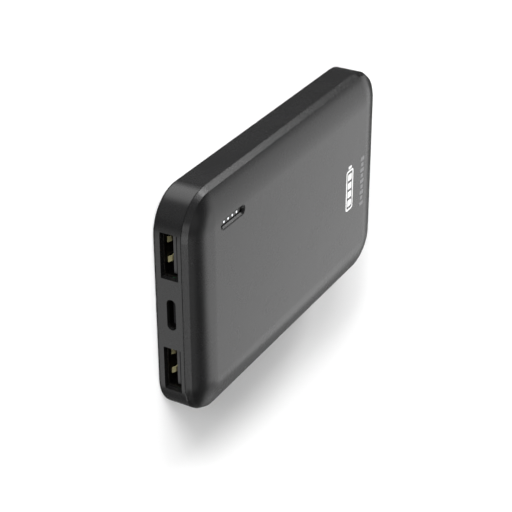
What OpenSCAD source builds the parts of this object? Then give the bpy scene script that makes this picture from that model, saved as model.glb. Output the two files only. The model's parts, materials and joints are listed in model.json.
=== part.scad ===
// Slim portable battery pack: a flat slab with rounded corners, two large output
// sockets either side of a small input socket on one short end, and a recessed
// push button with four charge lights on the front face.
// Millimetres. Lying on its back: X across, Y along, Z up out of the front face.
// Origin at the centre of the back face. Sockets on the -Y end.

/* [Case] */
// width across the pack
body_w = 66.2; // [65.6:0.2:67]
// length from the socket end to the far end
body_l = 109; // [108.6:0.2:111]
// overall thickness
body_t = 12.7; // [12.6:0.1:13.2]
// radius of the four upright corners
corner_r = 11.2; // [11.1:0.1:11.6]
// thickness of the side walls
wall = 1.8; // [1.7:0.1:1.9]
// thickness of the back
floor_t = 1.5; // [1.4:0.1:1.5]
// thickness of the front face
top_t = 1.5; // [1.4:0.1:1.5]
// height of the seam between the back shell and the front cover
seam_z = 8.6; // [8.5:0.1:8.7]
// how far the sloping band above the seam leans inwards
bevel_in = 0.9; // [0.8:0.1:1]
// height of the sloping band
bevel_h = 1.6; // [1.5:0.1:1.7]
// width of the broad rounding between the sloping band and the flat face
round_in = 9.3; // [9:0.1:9.3]
// rounding round the back edge
back_r = 1; // [0.6:0.1:1.2]
// softening of the two edges that meet at the seam
seam_c = 0.1; // [0.05:0.05:0.15]

/* [Sockets] */
// distance of each large socket from the middle
usb_a_x = 17.1; // [16.9:0.1:17.2]
// height of the large sockets' centre line
usb_a_z = 4.9; // [4.9:0.1:5]
// width of the large sockets' windows
usb_a_open_w = 13.3; // [13.1:0.1:13.4]
// height of the large sockets' windows
usb_a_open_h = 5.25; // [5.15:0.05:5.3]
// length of the large sockets' metal shells
usb_a_len = 10.8; // [10.6:0.1:10.9]
// height of the small socket's centre line
usb_c_z = 5.1; // [5:0.1:5.1]
// width of the small socket's window
usb_c_open_w = 9.2; // [9:0.1:9.3]
// height of the small socket's window
usb_c_open_h = 2.75; // [2.65:0.05:3]

/* [Button] */
// button centre across the pack
button_x = -21.8; // [-21.9:0.1:-21.7]
// button centre along the pack
button_y = -35.3; // [-35.4:0.1:-35.2]
// length of the slot
slot_l = 11; // [10.8:0.1:11.1]
// width of the slot
slot_w = 1.55; // [1.5:0.05:1.7]
// width of the soft bevel round the slot
rim_soft = 0.35; // [0.3:0.05:0.4]
// width of the steep chamfer inside the soft bevel
rim_steep = 0.4; // [0.35:0.05:0.45]
// depth of the button's top below the face
recess = 0.9; // [0.8:0.05:0.95]
// diameter of each light
dot_d = 0.7; // [0.6:0.05:0.9]
// distance between lights
dot_pitch = 2.15; // [2.1:0.05:2.2]

/* [Inside] */
// width of the battery pouch
cell_w = 58; // [56:0.5:58]
// length of the battery pouch
cell_l = 74; // [70:0.5:74]
// thickness of the battery pouch
cell_t = 7.6; // [7:0.1:7.6]
// height of the circuit board's underside
board_z = 4; // [3.9:0.1:4]
// thickness of the circuit board
board_t = 1; // [0.8:0.1:1]

/* [Hidden] */
$fn = 96;
cx = body_w / 2 - corner_r;
cy = body_l / 2 - corner_r;
y0 = -body_l / 2;
top_in = body_t - top_t;
band_top = seam_z + bevel_h;
dome_h = body_t - band_top;
dome_a = 2 * atan(dome_h / round_in);
dome_r = round_in / sin(dome_a);
dome_x = corner_r - bevel_in - round_in;
board_top = board_z + board_t;
lip_h = 0.85;
port_half = 25;
shell_y = y0 + wall + 0.05;
cell_y0 = -25.4;
cell_z0 = floor_t + 0.2;
cell_z1 = cell_z0 + cell_t;
flange_z1 = top_in - 1.05;
flange_z0 = flange_z1 - 0.85;
switch_x = button_x + 4.3;
boss_x = 26.6;
boss_y = -33.5;
post_x = 7.5;
post_y = -49.2;
tab_x = [9, 19];
soft_h = rim_soft * tan(28);
steep_h = rim_steep * tan(48);
soft_lap = 0.05 / tan(28);
eps = 0.01;

// ---------- shared shapes ----------
module plate(w, l, r, h) {
  linear_extrude(height = h) {
    square([w - 2 * r, l], center = true);
    square([w, l - 2 * r], center = true);
    for (sx = [-1, 1]) for (sy = [-1, 1])
      translate([sx * (w / 2 - r), sy * (l / 2 - r)]) circle(r = r);
  }
}
// a slab whose edge follows the half profile given, all the way round
module swept(z0, z1) {
  for (sx = [-1, 1]) for (sy = [-1, 1])
    translate([sx * cx, sy * cy, 0]) rotate_extrude() children();
  translate([0, cy, 0]) rotate([90, 0, 0]) linear_extrude(height = 2 * cy) {
    translate([cx, 0]) children();
    mirror([1, 0]) translate([cx, 0]) children();
    translate([-cx, z0]) square([2 * cx, z1 - z0]);
  }
  rotate([0, 0, 90]) translate([0, cx, 0]) rotate([90, 0, 0]) linear_extrude(height = 2 * cx) {
    translate([cy, 0]) children();
    mirror([1, 0]) translate([cy, 0]) children();
    translate([-cy, z0]) square([2 * cy, z1 - z0]);
  }
}
module back_profile() {
  square([corner_r - back_r, seam_z]);
  polygon([[0, back_r], [corner_r, back_r], [corner_r, seam_z - seam_c], [corner_r - seam_c, seam_z], [0, seam_z]]);
  translate([corner_r - back_r, back_r]) circle(r = back_r);
}
module front_profile() {
  polygon([[0, seam_z], [corner_r - seam_c, seam_z], [corner_r - seam_c * bevel_in / bevel_h, seam_z + seam_c],
           [corner_r - bevel_in, band_top], [0, band_top]]);
  translate([0, seam_z]) square([dome_x, body_t - seam_z]);
  intersection() {
    translate([dome_x, body_t - dome_r]) circle(r = dome_r, $fn = 360);
    translate([0, seam_z + 0.4]) square([corner_r - bevel_in, body_t - seam_z - 0.4]);
  }
}
module front_inner_profile() {
  translate([0, seam_z - 1]) square([dome_x, top_in - seam_z + 1]);
  intersection() {
    translate([dome_x, body_t - dome_r]) circle(r = dome_r - top_t, $fn = 360);
    translate([0, seam_z - 1]) square([corner_r - wall, top_in - seam_z + 1]);
  }
}
module stadium(l, w) {
  square([l - w, w], center = true);
  for (s = [-1, 1]) translate([s * (l - w) / 2, 0]) circle(d = w);
}
// a stadium along X that widens by g on every side over the height h
module tapered_stadium(l, w, z, h, g) {
  for (s = [-1, 1]) translate([s * (l - w) / 2, 0, z]) cylinder(r1 = w / 2, r2 = w / 2 + g, h = h);
  translate([-(l - w) / 2, 0, 0]) rotate([90, 0, 90]) linear_extrude(height = l - w)
    polygon([[-w / 2, z], [w / 2, z], [w / 2 + g, z + h], [-w / 2 - g, z + h]]);
}
module rounded_rect(w, h, r) {
  square([w - 2 * r, h], center = true);
  square([w, h - 2 * r], center = true);
  for (sx = [-1, 1]) for (sy = [-1, 1])
    translate([sx * (w / 2 - r), sy * (h / 2 - r)]) circle(r = r);
}
// a shape drawn in X and Z, run along +Y from y
module along_y(y, len) {
  translate([0, y + len, 0]) rotate([90, 0, 0]) linear_extrude(height = len) children();
}
module ring(d0, d1, z, h) {
  difference() {
    translate([0, 0, z]) plate(body_w - 2 * d0, body_l - 2 * d0, corner_r - d0, h);
    translate([0, 0, z - 1]) plate(body_w - 2 * d1, body_l - 2 * d1, corner_r - d1, h + 2);
  }
}
snap_y = [-16, 12, 38];
snap_x = [-12, 12];
module snaps(in0, in1, z0, z1, len) {
  for (s = [-1, 1]) for (y = snap_y)
    translate([s > 0 ? body_w / 2 - in1 : -body_w / 2 + in0, y - len / 2, z0]) cube([in1 - in0, len, z1 - z0]);
  for (x = snap_x)
    translate([x - len / 2, body_l / 2 - in1, z0]) cube([len, in1 - in0, z1 - z0]);
}

// ---------- case ----------
module rear_cover() color([0.09, 0.09, 0.095]) {
  difference() {
    swept(0, seam_z) back_profile();
    translate([0, 0, floor_t]) plate(body_w - 2 * wall, body_l - 2 * wall, corner_r - wall, seam_z);
    // rebate that takes the front cover's lip, stopped short of the sockets
    difference() {
      translate([0, 0, seam_z - lip_h - 0.05]) plate(body_w - 1.9, body_l - 1.9, corner_r - 0.95, lip_h + 1);
      translate([-port_half, y0 - 1, 0]) cube([2 * port_half, 6, seam_z + 2]);
    }
    snaps(1.4, wall + 0.1, 5.9, 6.7, 5.6);
    for (s = [-1, 1]) translate([s * usb_a_x, 0, 0]) {
      along_y(y0 - 1, wall + 2) translate([0, usb_a_z]) rounded_rect(usb_a_open_w, usb_a_open_h, 0.25);
      translate([-6.8, y0 + wall - 0.05, usb_a_z - 3]) cube([13.6, 4, 6]);
    }
    along_y(y0 - 1, wall + 2) translate([0, usb_c_z]) stadium(usb_c_open_w, usb_c_open_h);
    along_y(y0 + 0.85, wall + 1) translate([0, usb_c_z]) stadium(9.4, 3.5);
  }
  // bosses for the board screws
  for (s = [-1, 1]) translate([s * boss_x, boss_y, 0]) difference() {
    translate([0, 0, floor_t - 0.2]) cylinder(r = 2.2, h = board_z - floor_t + 0.2);
    translate([0, 0, 1.2]) cylinder(r = 0.8, h = 4);
  }
  // posts with locating pins between the sockets
  for (s = [-1, 1]) translate([s * post_x, post_y, floor_t - 0.2]) {
    cylinder(r = 1.5, h = board_z - floor_t + 0.2);
    cylinder(r = 0.65, h = board_top + 0.6 - floor_t + 0.2);
  }
  for (s = [-1, 1]) translate([s * 27.4, -42, floor_t - 0.2]) cylinder(r = 1.2, h = board_z - floor_t + 0.2);
  // rests under the large sockets
  for (s = [-1, 1]) for (y = [-50, -44])
    translate([s * usb_a_x - 5, y - 0.5, floor_t - 0.2]) cube([10, 1, usb_a_z - 2.85 - 0.05 - floor_t + 0.2]);
  // ribs round the battery
  for (s = [-1, 1]) for (y = [-5, 26])
    translate([s > 0 ? cell_w / 2 + 0.2 : -(body_w / 2 - wall + 0.2), y - 0.6, floor_t - 0.2])
      cube([body_w / 2 - wall - cell_w / 2, 1.2, 5]);
  translate([-26, cell_y0 - 1.5, floor_t - 0.2]) cube([52, 1.2, 2.8]);
  translate([-16, cell_y0 + cell_l + 0.3, floor_t - 0.2]) cube([32, 1.2, 5]);
}

module front_cover() color([0.1, 0.1, 0.105]) {
  difference() {
    union() {
      difference() {
        swept(seam_z, body_t) front_profile();
        swept(seam_z - 1, top_in) front_inner_profile();
      }
      // lip into the back shell
      difference() {
        ring(1, 1.75, seam_z - lip_h, lip_h + 0.2);
        translate([-port_half - 0.1, y0 - 1, 0]) cube([2 * port_half + 0.2, 6, seam_z + 0.001]);
      }
      // guide collar round the button slot
      translate([button_x, button_y, top_in - 1]) rotate([0, 0, 90]) linear_extrude(height = 1.2) stadium(slot_l + 2, slot_w + 2);
      // ribs that hold the large sockets down
      for (s = [-1, 1]) for (y = [-49, -44.5])
        translate([s * usb_a_x - 4, y - 0.5, usb_a_z + 2.9]) cube([8, 1, top_in - usb_a_z - 2.7]);
      // snap fingers
      snaps(1.85, 2.6, 5.6, 9.3, 5);
      snaps(1.5, 1.9, 6, 6.6, 5);
    }
    translate([button_x, button_y, 0]) rotate([0, 0, 90]) {
      translate([0, 0, top_in - 2]) linear_extrude(height = top_t + 3) stadium(slot_l, slot_w);
      // rim of the slot: a steep chamfer, then a soft bevel up to the face
      tapered_stadium(slot_l, slot_w, body_t - soft_h - steep_h, steep_h + 0.05, rim_steep * (steep_h + 0.05) / steep_h);
      tapered_stadium(slot_l + 2 * rim_steep - 2 * soft_lap, slot_w + 2 * rim_steep - 2 * soft_lap, body_t - soft_h - 0.05, soft_h + 0.15,
        rim_soft + soft_lap + 0.1 * rim_soft / soft_h);
    }
  }
}

// ---------- button and lights ----------
function dot_y(i) = button_y + (i - 1.5) * dot_pitch;

module button_cap() color([0.07, 0.07, 0.075]) difference() {
  union() {
    translate([button_x, button_y, flange_z1 - 0.1]) rotate([0, 0, 90]) linear_extrude(height = body_t - recess - flange_z1 + 0.1)
      stadium(slot_l - 0.2, slot_w - 0.2);
    translate([button_x - 2.2, button_y - 6.7, flange_z0]) cube([4.4, 13.4, flange_z1 - flange_z0]);
    translate([button_x, button_y - 2.5, flange_z0]) cube([switch_x - button_x + 1.6, 5, flange_z1 - flange_z0]);
    translate([switch_x, button_y, board_top + 3.25]) cylinder(r = 1.1, h = flange_z0 - board_top - 3.15);
  }
  for (i = [0:3]) translate([button_x, dot_y(i), 0]) cylinder(d = dot_d, h = body_t);
}

module button_light_guide() color([0.95, 0.96, 0.98]) {
  for (i = [0:3]) translate([button_x, dot_y(i), 0]) {
    translate([0, 0, flange_z0 - 0.5]) cylinder(d = dot_d, h = body_t - recess - flange_z0 + 0.5);
    translate([0, 0, board_top + 1.2]) cylinder(r = 0.6, h = flange_z0 - board_top - 2);
  }
  translate([button_x - 0.8, button_y - 4.2, flange_z0 - 1]) cube([1.6, 8.4, 1]);
}

module switch_body() color([0.16, 0.16, 0.17]) difference() {
  translate([switch_x - 1.6, button_y - 2.1, board_top]) cube([3.2, 4.2, 2.4]);
  translate([switch_x, button_y, board_top + 0.9]) cylinder(r = 0.95, h = 3);
}

module switch_plunger() color([0.75, 0.72, 0.65])
  translate([switch_x, button_y, board_top + 1.4]) cylinder(r = 0.9, h = 1.8);

module indicator_leds() color([0.95, 0.95, 0.88])
  for (i = [0:3]) {
    translate([button_x - 0.8, dot_y(i) - 0.4, board_top]) cube([1.6, 0.8, 0.25]);
    translate([button_x - 0.5, dot_y(i) - 0.4, board_top + 0.25]) cube([1, 0.8, 0.35]);
  }

module led_baffle() color([0.05, 0.05, 0.05]) difference() {
  translate([button_x - 1.5, button_y - 4.75, board_top]) cube([3, 9.5, 2.5]);
  for (i = [0:3]) translate([button_x - 0.95, dot_y(i) - 0.75, board_top - 1]) cube([1.9, 1.5, 5]);
}

// ---------- board ----------
module main_board() color([0.05, 0.28, 0.14]) difference() {
  intersection() {
    translate([0, 0, board_z]) plate(61, 103.8, 8.6, board_t);
    translate([-40, -60, 0]) cube([80, 60 - 28.9, 20]);
  }
  for (s = [-1, 1]) {
    translate([s * usb_a_x - 6.8, y0, 0]) cube([13.6, -41.6 - y0, 20]);
    translate([s * boss_x, boss_y, 0]) cylinder(r = 0.95, h = 20);
    translate([s * post_x, post_y, 0]) cylinder(r = 0.7, h = 20);
  }
  translate([-4.8, y0, 0]) cube([9.6, -46 - y0, 20]);
}

module board_screws() color([0.7, 0.7, 0.72])
  for (s = [-1, 1]) translate([s * boss_x, boss_y, 0]) difference() {
    union() {
      translate([0, 0, board_top]) cylinder(r = 1.5, h = 0.9);
      translate([0, 0, 1.6]) cylinder(r = 0.78, h = board_top - 1.5);
    }
    for (a = [0, 90]) rotate([0, 0, a]) translate([-1, -0.2, board_top + 0.4]) cube([2, 0.4, 1]);
  }

module power_inductor() color([0.2, 0.2, 0.21])
  translate([0, -36.4, board_top + 0.15]) {
    plate(6.6, 6.6, 0.8, 0.6);
    cylinder(r = 2.6, h = 2.6);
    translate([0, 0, 2.2]) plate(6.6, 6.6, 0.8, 0.6);
    for (s = [-1, 1]) translate([s * 3 - 0.2, -2.4, 0.5]) cube([0.4, 4.8, 1.8]);
  }

module inductor_winding_ends() color([0.75, 0.42, 0.2])
  for (s = [-1, 1]) translate([s * 2.7 - 0.8, -36.4 - 1.4, board_top]) cube([1.6, 2.8, 0.15]);

module controller_ic() color([0.06, 0.06, 0.065]) difference() {
  translate([-12, -37.5, board_top]) cube([5, 5, 0.85]);
  translate([-11.3, -33.2, board_top + 0.75]) cylinder(r = 0.3, h = 1);
}

module protection_ics() color([0.06, 0.06, 0.065])
  for (x = [11.5, 16]) translate([x, -36.8, board_top]) cube([3, 2.8, 0.9]);

module ceramic_capacitors() color([0.62, 0.5, 0.36]) {
  for (y = [-40.2, -37.9, -35.6, -33.3]) translate([5, y, board_top]) cube([3.2, 1.6, 1.4]);
  for (y = [-40.2, -37.9]) translate([-9.2, y - 3.2, board_top]) cube([3.2, 1.6, 1.2]);
  for (x = [22.6]) for (y = [-40, -37.8]) translate([x, y, board_top]) cube([3.2, 1.6, 1.4]);
}

module chip_resistors() color([0.12, 0.12, 0.13]) {
  for (i = [0:5]) translate([-14 + 2.4 * i, -31, board_top]) cube([1.6, 0.8, 0.5]);
  for (i = [0:2]) translate([-14.6, -39.6 + 1.6 * i, board_top]) cube([1.6, 0.8, 0.5]);
}

// ---------- sockets ----------
module usb_a_shell(x) translate([x, 0, 0]) {
  difference() {
    along_y(shell_y, usb_a_len) translate([0, usb_a_z]) rounded_rect(13.1, 5.7, 0.5);
    along_y(shell_y - 1, usb_a_len + 2) translate([0, usb_a_z]) rounded_rect(12.5, 5.1, 0.3);
    for (s = [-1, 1]) for (d = [-2.95, 2.95])
      translate([d - 1.1, shell_y + 1.5, usb_a_z + s * 2.75 - 0.4]) cube([2.2, 6.8, 0.8]);
  }
  // contact springs pressed out of the two wide walls
  for (s = [0, 1]) for (d = [-2.95, 2.95]) translate([0, 0, usb_a_z]) mirror([0, 0, s])
    translate([d - 0.8, 0, -2.85]) rotate([90, 0, 90]) linear_extrude(height = 1.6)
      polygon([[shell_y + 8.6, 0], [shell_y + 8.6, 0.3], [shell_y + 3.3, 0.92], [shell_y + 2.7, 0.92],
               [shell_y + 1.7, 0.3], [shell_y + 1.9, 0.05], [shell_y + 2.85, 0.66], [shell_y + 3.2, 0.66], [shell_y + 8.3, 0]]);
  // solder tabs resting on the board
  for (s = [-1, 1]) for (d = [2.4, 8])
    translate([s > 0 ? 6.4 : -7.9, shell_y + d, board_top]) cube([1.5, 1.4, 0.3]);
}
module usb_a_insulator(x) translate([x, 0, 0]) difference() {
  union() {
    translate([-6.2, shell_y + usb_a_len - 1.8, usb_a_z - 2.5]) cube([12.4, 1.8, 5]);
    translate([-5.5, 0, usb_a_z]) rotate([90, 0, 90]) linear_extrude(height = 11)
      polygon([[y0 + 2.15, 0.15], [y0 + 2.15, 0.95], [y0 + 3.15, 1.95], [shell_y + usb_a_len - 1, 1.95], [shell_y + usb_a_len - 1, 0.15]]);
  }
  for (d = [-3.5, -1, 1, 3.5]) translate([d - 0.5, shell_y + usb_a_len - 2.5, usb_a_z - 0.05]) cube([1, 3, 0.2]);
}
module usb_a_contacts(x) translate([x, 0, 0])
  for (d = [-3.5, -1, 1, 3.5]) translate([d - 0.5, 0, 0]) {
    translate([0, y0 + 3.4, usb_a_z - 0.05]) cube([1, shell_y + usb_a_len + 0.3 - y0 - 3.4, 0.2]);
    translate([0, shell_y + usb_a_len + 0.1, usb_a_z - 0.05]) cube([1, 0.2, board_top + 0.2 - usb_a_z + 0.05]);
    translate([0, shell_y + usb_a_len + 0.1, board_top]) cube([1, 1.3, 0.2]);
  }
steel = [0.78, 0.78, 0.76];
module usb_a_left_shell() color(steel) usb_a_shell(-usb_a_x);
module usb_a_left_insulator() color([0.08, 0.08, 0.085]) usb_a_insulator(-usb_a_x);
module usb_a_left_contacts() color([0.85, 0.65, 0.3]) usb_a_contacts(-usb_a_x);
module usb_a_right_shell() color(steel) usb_a_shell(usb_a_x);
module usb_a_right_insulator() color([0.08, 0.08, 0.085]) usb_a_insulator(usb_a_x);
module usb_a_right_contacts() color([0.85, 0.65, 0.3]) usb_a_contacts(usb_a_x);

usb_c_y = y0 + 0.95;
module usb_c_shell() color(steel) {
  difference() {
    along_y(usb_c_y, 7.3) translate([0, usb_c_z]) stadium(8.94, 3.16);
    along_y(usb_c_y - 1, 9) translate([0, usb_c_z]) stadium(8.34, 2.56);
  }
  for (s = [-1, 1]) translate([s > 0 ? 4.3 : -5.6, usb_c_y + 3.2, board_top]) cube([1.3, 1.4, 0.3]);
}
module usb_c_insulator() color([0.06, 0.06, 0.065]) {
  along_y(usb_c_y + 5.9, 1.3) translate([0, usb_c_z]) stadium(8.3, 2.52);
  translate([-3.35, usb_c_y + 0.75, usb_c_z - 0.35]) cube([6.7, 5.3, 0.7]);
}
module usb_c_contacts() color([0.85, 0.65, 0.3])
  for (i = [0:11]) translate([(i - 5.5) * 0.5 - 0.14, 0, 0]) {
    translate([0, usb_c_y + 1.5, usb_c_z + 0.35]) cube([0.28, 4.3, 0.06]);
    translate([0, usb_c_y + 1.5, usb_c_z - 0.41]) cube([0.28, 4.3, 0.06]);
    translate([0, usb_c_y + 7.2, board_top]) cube([0.28, 2, 0.12]);
  }

// ---------- battery ----------
module battery_cell() color([0.72, 0.73, 0.76]) difference() {
  union() {
    translate([0, cell_y0 + cell_l / 2, cell_z0]) {
      translate([0, 0, 0.5]) plate(cell_w, cell_l, 2.5, cell_t - 1);
      plate(cell_w - 1, cell_l - 1, 2, cell_t);
    }
    translate([-cell_w / 2 + 2, cell_y0 - 2.8, board_top - 0.15]) cube([cell_w - 4, 4, 0.6]);
  }
  for (x = tab_x) translate([x - 2, cell_y0 - 4, board_top]) cube([4, 2.2, 0.15]);
}
module cell_tabs() color([0.8, 0.8, 0.8])
  for (x = tab_x) translate([x - 2, -31.6, board_top]) cube([4, cell_y0 - 1.8 + 31.6, 0.15]);
module terrace_tape() color([0.85, 0.6, 0.15])
  translate([-22, cell_y0 - 2.6, board_top + 0.45]) cube([44, 2.4, 0.1]);
module cell_adhesive() color([0.85, 0.85, 0.82])
  translate([-22, cell_y0 + 6, floor_t]) cube([44, cell_l - 12, 0.2]);
module foam_pad() color([0.2, 0.2, 0.21])
  translate([-20, cell_y0 + 10, cell_z1]) cube([40, 54, top_in - cell_z1]);

rear_cover();
front_cover();
button_cap();
button_light_guide();
switch_body();
switch_plunger();
main_board();
indicator_leds();
led_baffle();
usb_a_left_shell();
usb_a_left_insulator();
usb_a_left_contacts();
usb_a_right_shell();
usb_a_right_insulator();
usb_a_right_contacts();
usb_c_shell();
usb_c_insulator();
usb_c_contacts();
power_inductor();
inductor_winding_ends();
controller_ic();
protection_ics();
ceramic_capacitors();
chip_resistors();
battery_cell();
cell_tabs();
terrace_tape();
cell_adhesive();
foam_pad();
board_screws();
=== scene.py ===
# Looks for the slim power bank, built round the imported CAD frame. Metres, row frame.
import bpy
import bmesh
import json
import math
from mathutils import Matrix, Vector


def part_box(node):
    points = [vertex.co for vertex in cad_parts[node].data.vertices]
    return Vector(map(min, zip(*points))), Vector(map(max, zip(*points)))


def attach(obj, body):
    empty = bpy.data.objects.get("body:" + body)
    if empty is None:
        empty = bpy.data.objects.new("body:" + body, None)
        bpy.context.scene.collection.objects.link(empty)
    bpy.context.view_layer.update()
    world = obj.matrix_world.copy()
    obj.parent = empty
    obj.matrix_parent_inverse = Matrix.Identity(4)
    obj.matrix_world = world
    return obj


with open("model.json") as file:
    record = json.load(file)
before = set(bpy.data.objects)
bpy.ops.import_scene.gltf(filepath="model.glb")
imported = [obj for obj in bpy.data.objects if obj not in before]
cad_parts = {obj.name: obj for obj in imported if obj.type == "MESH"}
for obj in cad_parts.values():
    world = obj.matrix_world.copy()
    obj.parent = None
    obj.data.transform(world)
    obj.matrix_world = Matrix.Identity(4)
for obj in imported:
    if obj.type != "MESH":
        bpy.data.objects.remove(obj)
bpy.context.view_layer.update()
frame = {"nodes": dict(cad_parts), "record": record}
nodes = frame["nodes"]
scene = bpy.context.scene
MM = 0.001


# ------------------------------------------------------------------ materials
def new_material(name):
    m = bpy.data.materials.new(name)
    m.use_nodes = True
    m.node_tree.nodes.clear()
    return m, m.node_tree.nodes, m.node_tree.links


def add(ns, kind, **props):
    n = ns.new(kind)
    for k, v in props.items():
        setattr(n, k, v)
    return n


def noise(ns, ls, coord, scale, detail=2.0, rough=0.5):
    n = add(ns, "ShaderNodeTexNoise")
    n.inputs["Scale"].default_value = scale
    n.inputs["Detail"].default_value = detail
    n.inputs["Roughness"].default_value = rough
    ls.new(coord, n.inputs["Vector"])
    return n


def spread(ns, ls, value, lo, hi, a=0.3, b=0.7):
    n = add(ns, "ShaderNodeMapRange")
    n.inputs["From Min"].default_value = a
    n.inputs["From Max"].default_value = b
    n.inputs["To Min"].default_value = lo
    n.inputs["To Max"].default_value = hi
    ls.new(value, n.inputs["Value"])
    return n


def surface(name, color, rough, vary=0.12, rough_vary=0.04, grain_mm=0.25, grain_um=6.0,
            blotch_mm=9.0, metallic=0.0, spec=0.5, coat=0.0, coat_rough=0.3, ior=1.5, streak=None,
            emission=None, strength=0.0):
    """A moulded, plated or printed finish: broad colour drift, fine grain in the bump, and roughness that follows both."""
    m, ns, ls = new_material(name)
    out = add(ns, "ShaderNodeOutputMaterial")
    b = add(ns, "ShaderNodeBsdfPrincipled")
    ls.new(b.outputs["BSDF"], out.inputs["Surface"])
    b.inputs["Metallic"].default_value = metallic
    b.inputs["Specular IOR Level"].default_value = spec
    b.inputs["IOR"].default_value = ior
    b.inputs["Coat Weight"].default_value = coat
    b.inputs["Coat Roughness"].default_value = coat_rough
    tc = add(ns, "ShaderNodeTexCoord")
    coord = tc.outputs["Object"]
    if streak:
        mp = add(ns, "ShaderNodeMapping")
        mp.inputs["Scale"].default_value = streak
        ls.new(coord, mp.inputs["Vector"])
        fine_coord = mp.outputs["Vector"]
    else:
        fine_coord = coord
    broad = noise(ns, ls, coord, 1000.0 / blotch_mm, 3.0)
    fine = noise(ns, ls, fine_coord, 1000.0 / grain_mm, 2.0, 0.6)
    # colour drift
    k = spread(ns, ls, broad.outputs["Fac"], 1.0 - vary, 1.0 + vary)
    k2 = spread(ns, ls, fine.outputs["Fac"], 1.0 - vary * 0.8, 1.0 + vary * 0.8)
    mul = add(ns, "ShaderNodeMath", operation="MULTIPLY")
    ls.new(k.outputs["Result"], mul.inputs[0])
    ls.new(k2.outputs["Result"], mul.inputs[1])
    base = add(ns, "ShaderNodeRGB")
    base.outputs[0].default_value = (*color, 1.0)
    vm = add(ns, "ShaderNodeVectorMath", operation="SCALE")
    ls.new(base.outputs[0], vm.inputs[0])
    ls.new(mul.outputs[0], vm.inputs["Scale"])
    ls.new(vm.outputs["Vector"], b.inputs["Base Color"])
    # roughness
    r = spread(ns, ls, broad.outputs["Fac"], rough - rough_vary, rough + rough_vary)
    r2 = spread(ns, ls, fine.outputs["Fac"], -rough_vary * 0.5, rough_vary * 0.5)
    ad = add(ns, "ShaderNodeMath", operation="ADD")
    ls.new(r.outputs["Result"], ad.inputs[0])
    ls.new(r2.outputs["Result"], ad.inputs[1])
    ls.new(ad.outputs[0], b.inputs["Roughness"])
    # grain
    bp = add(ns, "ShaderNodeBump")
    bp.inputs["Strength"].default_value = 1.0
    bp.inputs["Distance"].default_value = grain_um * 1e-6
    ls.new(fine.outputs["Fac"], bp.inputs["Height"])
    ls.new(bp.outputs["Normal"], b.inputs["Normal"])
    if emission:
        b.inputs["Emission Color"].default_value = (*emission, 1.0)
        b.inputs["Emission Strength"].default_value = strength
    return m


ROUGH = 0.27
SPEC = 0.5
BODY = (0.003, 0.003, 0.0031)
mats = {
    "back_shell_plastic": surface("back_shell_plastic", BODY, ROUGH, spec=SPEC, grain_mm=0.22, grain_um=3.0, vary=0.10, rough_vary=0.012),
    "front_cover_plastic": surface("front_cover_plastic", BODY, ROUGH, spec=SPEC, grain_mm=0.22, grain_um=3.0, vary=0.10, rough_vary=0.012),
    "button_plastic": surface("button_plastic", BODY, ROUGH, spec=SPEC, grain_mm=0.2, grain_um=2.5, vary=0.10, rough_vary=0.02),
    "light_guide": surface("light_guide", (0.85, 0.88, 0.92), 0.35, grain_mm=0.3, grain_um=2.0, vary=0.03, emission=(0.95, 0.98, 1.0), strength=1.0),
    "switch_plastic": surface("switch_plastic", (0.02, 0.02, 0.021), 0.5, grain_mm=0.15, grain_um=5),
    "switch_plunger": surface("switch_plunger", (0.35, 0.30, 0.22), 0.4, grain_mm=0.15, grain_um=3),
    "board_laminate": surface("board_laminate", (0.004, 0.06, 0.02), 0.35, grain_mm=0.6, grain_um=8, blotch_mm=3, vary=0.25),
    "led_package": surface("led_package", (0.8, 0.75, 0.5), 0.3, grain_mm=0.2, grain_um=2, vary=0.05),
    "baffle_plastic": surface("baffle_plastic", (0.006, 0.006, 0.006), 0.6, grain_mm=0.2, grain_um=5),
    # painted shade: the socket shell steel is coloured near-black to stand in for the shade inside the sockets; the
    # real steel is bright
    "socket_steel": surface("socket_steel", (0.035, 0.034, 0.032), 0.42, metallic=1.0, grain_mm=0.12, grain_um=2.0, streak=(1.0, 0.12, 1.0), vary=0.08, blotch_mm=3),
    "socket_plastic": surface("socket_plastic", (0.006, 0.006, 0.0062), 0.3, grain_mm=0.18, grain_um=3, vary=0.1, rough_vary=0.02),
    "contact_metal": surface("contact_metal", (0.75, 0.52, 0.2), 0.3, metallic=1.0, grain_mm=0.15, grain_um=1.0, vary=0.06, blotch_mm=2),
    "ferrite": surface("ferrite", (0.03, 0.03, 0.032), 0.65, grain_mm=0.25, grain_um=12),
    "copper": surface("copper", (0.6, 0.28, 0.12), 0.35, metallic=1.0, grain_mm=0.2, grain_um=3),
    "chip_epoxy": surface("chip_epoxy", (0.012, 0.012, 0.013), 0.55, grain_mm=0.1, grain_um=4),
    "capacitor_ceramic": surface("capacitor_ceramic", (0.28, 0.16, 0.08), 0.5, grain_mm=0.2, grain_um=4, blotch_mm=1.5),
    "resistor_ceramic": surface("resistor_ceramic", (0.02, 0.02, 0.022), 0.5, grain_mm=0.2, grain_um=4),
    "pouch_foil": surface("pouch_foil", (0.55, 0.56, 0.58), 0.4, metallic=0.9, grain_mm=0.9, grain_um=25, blotch_mm=14, vary=0.06),
    "tab_nickel": surface("tab_nickel", (0.55, 0.53, 0.5), 0.3, metallic=1.0, grain_mm=0.2, grain_um=2, streak=(1.0, 0.2, 1.0)),
    "amber_tape": surface("amber_tape", (0.5, 0.2, 0.02), 0.25, grain_mm=1.5, grain_um=15, vary=0.1),
    "adhesive_film": surface("adhesive_film", (0.7, 0.7, 0.66), 0.7, grain_mm=0.4, grain_um=8),
    "foam": surface("foam", (0.02, 0.02, 0.021), 0.9, grain_mm=0.35, grain_um=60, vary=0.3),
    "screw_steel": surface("screw_steel", (0.5, 0.5, 0.49), 0.3, metallic=1.0, grain_mm=0.1, grain_um=2),
}


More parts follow.
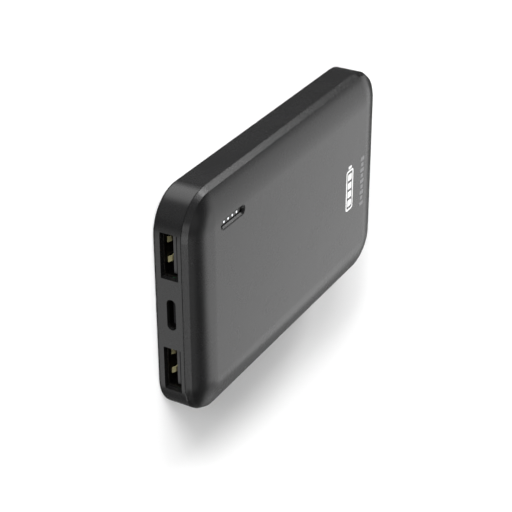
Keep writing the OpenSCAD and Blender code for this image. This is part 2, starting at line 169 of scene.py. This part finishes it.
def calc(ns, ls, operation, a, b=None):
    n = add(ns, "ShaderNodeMath", operation=operation)
    for i, v in enumerate((a, b)):
        if v is None:
            continue
        if isinstance(v, (int, float)):
            n.inputs[i].default_value = v
        else:
            ls.new(v, n.inputs[i])
    return n.outputs[0]


def between(ns, ls, value, lo, hi, soft=0.03):
    """1 where the value lies between lo and hi, with a soft edge."""
    up = spread(ns, ls, value, 0.0, 1.0, lo - soft, lo + soft)
    down = spread(ns, ls, value, 1.0, 0.0, hi - soft, hi + soft)
    return calc(ns, ls, "MULTIPLY", up.outputs["Result"], down.outputs["Result"])


def tint(ns, ls, grain, colour):
    c = add(ns, "ShaderNodeRGB")
    c.outputs[0].default_value = (*colour, 1.0)
    v = add(ns, "ShaderNodeVectorMath", operation="SCALE")
    ls.new(c.outputs[0], v.inputs[0])
    ls.new(grain, v.inputs["Scale"])
    return v.outputs["Vector"]


def mixed(ns, ls, factor, a, b):
    n = add(ns, "ShaderNodeMix", data_type="RGBA")
    ls.new(factor, n.inputs[0])
    ls.new(a, n.inputs[6])
    ls.new(b, n.inputs[7])
    return n.outputs[2]


def dress_sockets(mat, x_mid, y_mouth):
    """In the two large sockets the contact springs show bare brass, and the lead-in edge of the shell is painted
    lighter, a painted highlight where the painted shade of the near-black shell stops at the mouth. All in mm.
    """
    ns, ls = mat.node_tree.nodes, mat.node_tree.links
    b = next(n for n in ns if n.type == "BSDF_PRINCIPLED")
    tc = add(ns, "ShaderNodeTexCoord")
    xyz = add(ns, "ShaderNodeSeparateXYZ")
    ls.new(tc.outputs["Object"], xyz.inputs[0])
    across = calc(ns, ls, "ABSOLUTE", calc(ns, ls, "MULTIPLY", xyz.outputs["X"], 1000.0))
    across = calc(ns, ls, "ABSOLUTE", calc(ns, ls, "SUBTRACT", across, x_mid))
    depth = calc(ns, ls, "SUBTRACT", calc(ns, ls, "MULTIPLY", xyz.outputs["Y"], 1000.0), y_mouth)
    spring = calc(ns, ls, "MULTIPLY", between(ns, ls, across, 2.1, 3.8), between(ns, ls, depth, 1.56, 8.5))
    # painted highlight: the lead-in edge at the mouth is lighter than the near-black shell steel, whose darkness is
    # painted shade
    lip = calc(ns, ls, "MULTIPLY", between(ns, ls, across, -1.0, 7.0), between(ns, ls, depth, -1.0, 0.45, 0.08))
    fine = noise(ns, ls, tc.outputs["Object"], 4000.0, 2.0)
    grain = spread(ns, ls, fine.outputs["Fac"], 0.88, 1.1).outputs["Result"]
    plain = b.inputs["Base Color"].links[0].from_socket
    shell_with_lit_mouth = mixed(ns, ls, lip, plain, tint(ns, ls, grain, (0.10, 0.097, 0.088)))
    ls.new(mixed(ns, ls, spring, shell_with_lit_mouth, tint(ns, ls, grain, (0.19, 0.175, 0.095))), b.inputs["Base Color"])
    ls.new(spread(ns, ls, spring, 1.0, 0.3, 0.0, 1.0).outputs["Result"], b.inputs["Metallic"])


shell_lo, shell_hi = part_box("usb_a_right_shell")
dress_sockets(mats["socket_steel"], (shell_lo.x + shell_hi.x) / 2 / MM, shell_lo.y / MM)
slots = {s["node"]: s["material_slot"] for s in frame["record"]["subparts"]}
# deep inside the small socket the tongue is a dull black
dull = surface("small_socket_plastic", (0.004, 0.004, 0.0042), 0.6, grain_mm=0.15, grain_um=4, vary=0.1, spec=0.12)
for n, o in nodes.items():
    o.data.materials.clear()
    o.data.materials.append(dull if n == "usb_c_insulator" else mats[slots[n]])


# ------------------------------------------------------------------ printed mark
def ink(name, color, rough=0.45):
    return surface(name, color, rough, vary=0.06, rough_vary=0.05, grain_mm=0.18, grain_um=4.0, blotch_mm=2.5)


def rounded(cx, cy, w, h, r, n=6):
    pts = []
    for sx, sy, a0 in ((1, 1, 0), (-1, 1, 90), (-1, -1, 180), (1, -1, 270)):
        for i in range(n + 1):
            a = math.radians(a0 + 90 * i / n)
            pts.append((cx + sx * (w / 2 - r) + r * math.cos(a), cy + sy * (h / 2 - r) + r * math.sin(a)))
    return pts


def print_piece(name, outlines, mat, z0, z1):
    """Each outline is a loop, or (outer, inner) loops of the same length for a frame; all in mm, printed as a thin closed layer."""
    bm = bmesh.new()
    for o in outlines:
        if isinstance(o, tuple):
            outer, inner = o
            n = len(outer)
            rings = []
            for z in (z0, z1):
                rings.append(([bm.verts.new((x * MM, y * MM, z)) for x, y in outer], [bm.verts.new((x * MM, y * MM, z)) for x, y in inner]))
            (ob, ib), (ot, it) = rings
            for i in range(n):
                j = (i + 1) % n
                bm.faces.new((ot[i], ot[j], it[j], it[i]))
                bm.faces.new((ob[j], ob[i], ib[i], ib[j]))
                bm.faces.new((ob[i], ob[j], ot[j], ot[i]))
                bm.faces.new((ib[j], ib[i], it[i], it[j]))
        else:
            n = len(o)
            b = [bm.verts.new((x * MM, y * MM, z0)) for x, y in o]
            t = [bm.verts.new((x * MM, y * MM, z1)) for x, y in o]
            bm.faces.new(t)
            bm.faces.new(list(reversed(b)))
            for i in range(n):
                j = (i + 1) % n
                bm.faces.new((b[i], b[j], t[j], t[i]))
    bmesh.ops.recalc_face_normals(bm, faces=bm.faces)
    me = bpy.data.meshes.new(name)
    bm.to_mesh(me)
    bm.free()
    me.materials.append(mat)
    ob = bpy.data.objects.new(name, me)
    scene.collection.objects.link(ob)
    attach(ob, "case")
    return ob


top_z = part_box("front_cover")[1].z
ink_z0, ink_z1 = top_z - 0.004 * MM, top_z + 0.006 * MM
# a battery pictogram: outline, terminal and four charge bars
marks = [(rounded(0.6, 34.0, 13.6, 4.6, 1.0), rounded(0.6, 34.0, 12.4, 3.4, 0.5)),
         rounded(-7.0, 34.0, 0.9, 2.0, 0.3)]
for i in range(4):
    marks.append(rounded(0.6 + (1.5 - i) * 2.9, 34.0, 2.1, 2.4, 0.3))
print_piece("front_symbol", marks, ink("symbol_ink", (0.80, 0.80, 0.80)), ink_z0, ink_z1)
# a fainter row of plain ticks
ticks = [rounded(1.2 + (4 - i) * 1.9, 42.5, 1.25, 2.4 if i % 2 == 0 else 1.5, 0.2) for i in range(9)]
print_piece("front_ticks", ticks, ink("tick_ink", (0.16, 0.16, 0.165)), ink_z0, ink_z1)


# ------------------------------------------------------------------ stage
def plane(name, size, z, mat):
    bm = bmesh.new()
    h = size / 2
    bm.faces.new([bm.verts.new(p) for p in ((-h, -h, z), (h, -h, z), (h, h, z), (-h, h, z))])
    me = bpy.data.meshes.new(name)
    bm.to_mesh(me)
    bm.free()
    me.materials.append(mat)
    ob = bpy.data.objects.new(name, me)
    scene.collection.objects.link(ob)
    return ob


floor_mat, ns, ls = new_material("floor")
out = add(ns, "ShaderNodeOutputMaterial")
bs = add(ns, "ShaderNodeBsdfPrincipled")
bs.inputs["Base Color"].default_value = (0.86, 0.86, 0.86, 1)
bs.inputs["Roughness"].default_value = 0.9
bs.inputs["Specular IOR Level"].default_value = 0.0
ls.new(bs.outputs["BSDF"], out.inputs["Surface"])
floor = plane("floor", 8.0, 0.0, floor_mat)
floor.visible_glossy = False

# the studio round the object: dim above, softly lit below and to the sides, as broad smooth patches of light
WORLD_UP = 0.05
WORLD_DOWN = 0.136
PATCHES = [
    # direction, inner and outer half angle in degrees, strength
    ((0.45, -0.77, -0.45), 8, 30, 0.98),
    ((-0.86, 0.27, -0.43), 12, 33, 2.3),
    ((0.64, 0.76, -0.18), 8, 26, 0.12),
    ((0.62, -0.62, -0.45), 6, 22, 0.32),
    ((-0.62, -0.64, -0.45), 8, 30, 0.14),
]
world = bpy.data.worlds.new("world")
scene.world = world
world.use_nodes = True
world.cycles.sampling_method = "NONE"
wn, wl = world.node_tree.nodes, world.node_tree.links
wn.clear()
w_out = add(wn, "ShaderNodeOutputWorld")
w_bg = add(wn, "ShaderNodeBackground")
w_bg.inputs["Color"].default_value = (1, 1, 1, 1)
wl.new(w_bg.outputs["Background"], w_out.inputs["Surface"])
w_dir = add(wn, "ShaderNodeTexCoord").outputs["Generated"]
w_xyz = add(wn, "ShaderNodeSeparateXYZ")
wl.new(w_dir, w_xyz.inputs[0])
w_base = add(wn, "ShaderNodeMapRange", interpolation_type="SMOOTHSTEP")
for k, v in (("From Min", -0.08), ("From Max", 0.08), ("To Min", WORLD_DOWN), ("To Max", WORLD_UP)):
    w_base.inputs[k].default_value = v
wl.new(w_xyz.outputs["Z"], w_base.inputs["Value"])
w_total = w_base.outputs["Result"]
for direction, inner, outer, strength in PATCHES:
    dot = add(wn, "ShaderNodeVectorMath", operation="DOT_PRODUCT")
    wl.new(w_dir, dot.inputs[0])
    dot.inputs[1].default_value = Vector(direction).normalized()
    patch = add(wn, "ShaderNodeMapRange", interpolation_type="SMOOTHSTEP")
    for k, v in (("From Min", math.cos(math.radians(outer))), ("From Max", math.cos(math.radians(inner))), ("To Min", 0.0), ("To Max", strength)):
        patch.inputs[k].default_value = v
    wl.new(dot.outputs["Value"], patch.inputs["Value"])
    both = add(wn, "ShaderNodeMath", operation="ADD")
    wl.new(w_total, both.inputs[0])
    wl.new(patch.outputs["Result"], both.inputs[1])
    w_total = both.outputs[0]
wl.new(w_total, w_bg.inputs["Strength"])


def softbox(name, kind, az, el, dist, w, h, power, aim=(0, 0, 0.006)):
    """Azimuth is measured from +Y towards +X, in degrees. A key lights the scene and stays out of the reflections; a card only shows as a reflection."""
    a, e = math.radians(az), math.radians(el)
    d = Vector((math.sin(a) * math.cos(e), math.cos(a) * math.cos(e), math.sin(e)))
    li = bpy.data.lights.new(name, "AREA")
    li.shape = "RECTANGLE"
    li.size, li.size_y = w, h
    li.energy = power
    ob = bpy.data.objects.new(name, li)
    ob.location = Vector(aim) + d * dist
    ob.rotation_mode = "QUATERNION"
    ob.rotation_quaternion = d.to_track_quat("Z", "Y")
    ob.visible_diffuse = kind == "key"
    ob.visible_glossy = kind == "card"
    scene.collection.objects.link(ob)
    return ob


LIGHTS = [
    # kind, azimuth, elevation, distance, width, height, power
    ("key", 240, 13, 1.5, 0.5, 0.22, 36.8),
    ("key", 220, 7, 1.5, 0.5, 0.22, 27.9),
    ("key", 320, 13, 1.5, 0.5, 0.22, 16.4),
    ("key", 340, 7, 1.5, 0.5, 0.22, 12.3),
    ("key", 260, 13, 1.5, 0.5, 0.22, 10.2),
    ("key", 110, 25, 1.5, 0.6, 0.5, 9.83),
    ("key", 180, 45, 2, 2.4, 1.8, 7.79),
    ("key", 280, 21, 1.5, 0.5, 0.22, 6.05),
    ("key", 85, 25, 1.5, 0.6, 0.5, 5.51),
    ("key", 260, 21, 1.5, 0.5, 0.22, 5.04),
    ("key", 340, 13, 1.5, 0.5, 0.22, 4.29),
    ("card", 225, 6, 1.4, 0.7, 0.2, 8.77),
    ("card", 20, 34, 1.5, 1.3, 1.2, 6.4),
    ("card", 165, 10, 1.5, 0.6, 0.3, 3.84),
    ("card", 300, 15, 1.4, 0.35, 0.3, 2.9),
    ("card", 255, 7, 1.3, 1, 0.22, 3),
    ("card", 108, 26, 1.5, 0.5, 0.5, 2.43),
    ("card", 320, 25, 1.5, 0.35, 0.3, 1.85),
    ("card", 165, 29, 1.5, 0.6, 0.35, 1.67),
    ("card", 57, 21, 1.5, 0.35, 0.7, 0.6),
    ("card", 192, 33, 1.5, 0.5, 0.3, 1.22),
    ("card", 140, 26, 1.5, 0.4, 0.35, 1.14),
    ("card", 315, 10, 1.5, 0.3, 0.35, 1.5),
    ("card", 30, 16, 1.5, 1, 0.4, 0.5),
    ("card", 0, 88, 1.5, 0.6, 0.6, 0.45),
    ("card", 285, 22, 1.4, 0.4, 0.2, 0.67),
    ("card", 30, 54, 1.5, 0.6, 0.25, 0.52),
    ("card", 100, 62, 1.5, 0.5, 0.5, 0.6),
    ("card", 48, 43, 1.5, 0.4, 0.3, 0.3),
    ("card", 331, 28, 1.5, 0.28, 0.28, 0.3),
    ("card", 42, 4, 1.5, 0.9, 0.3, 0.2),
]
for i, args in enumerate(LIGHTS):
    softbox("%s_%d" % (args[0], i), *args)

# ------------------------------------------------------------------ camera
cam_data = bpy.data.cameras.new("camera")
cam_data.sensor_width = 36.0
cam_data.sensor_fit = "HORIZONTAL"
cam_data.lens = 103.161
cam_data.clip_start, cam_data.clip_end = 0.01, 50.0
camera = bpy.data.objects.new("camera", cam_data)
scene.collection.objects.link(camera)
right = Vector((0.00281779, 0.49333081, 0.86983721))
up = Vector((-0.87227404, 0.42657439, -0.23910728))
back = Vector((-0.48900926, -0.75806266, 0.43152166))
m = Matrix.Identity(4)
for i in range(3):
    m[i][0], m[i][1], m[i][2] = right[i], up[i], back[i]
m[0][3], m[1][3], m[2][3] = -0.19951707, -0.32566635, 0.18476261
camera.matrix_world = m
scene.camera = camera
scene.view_settings.view_transform = "Standard"
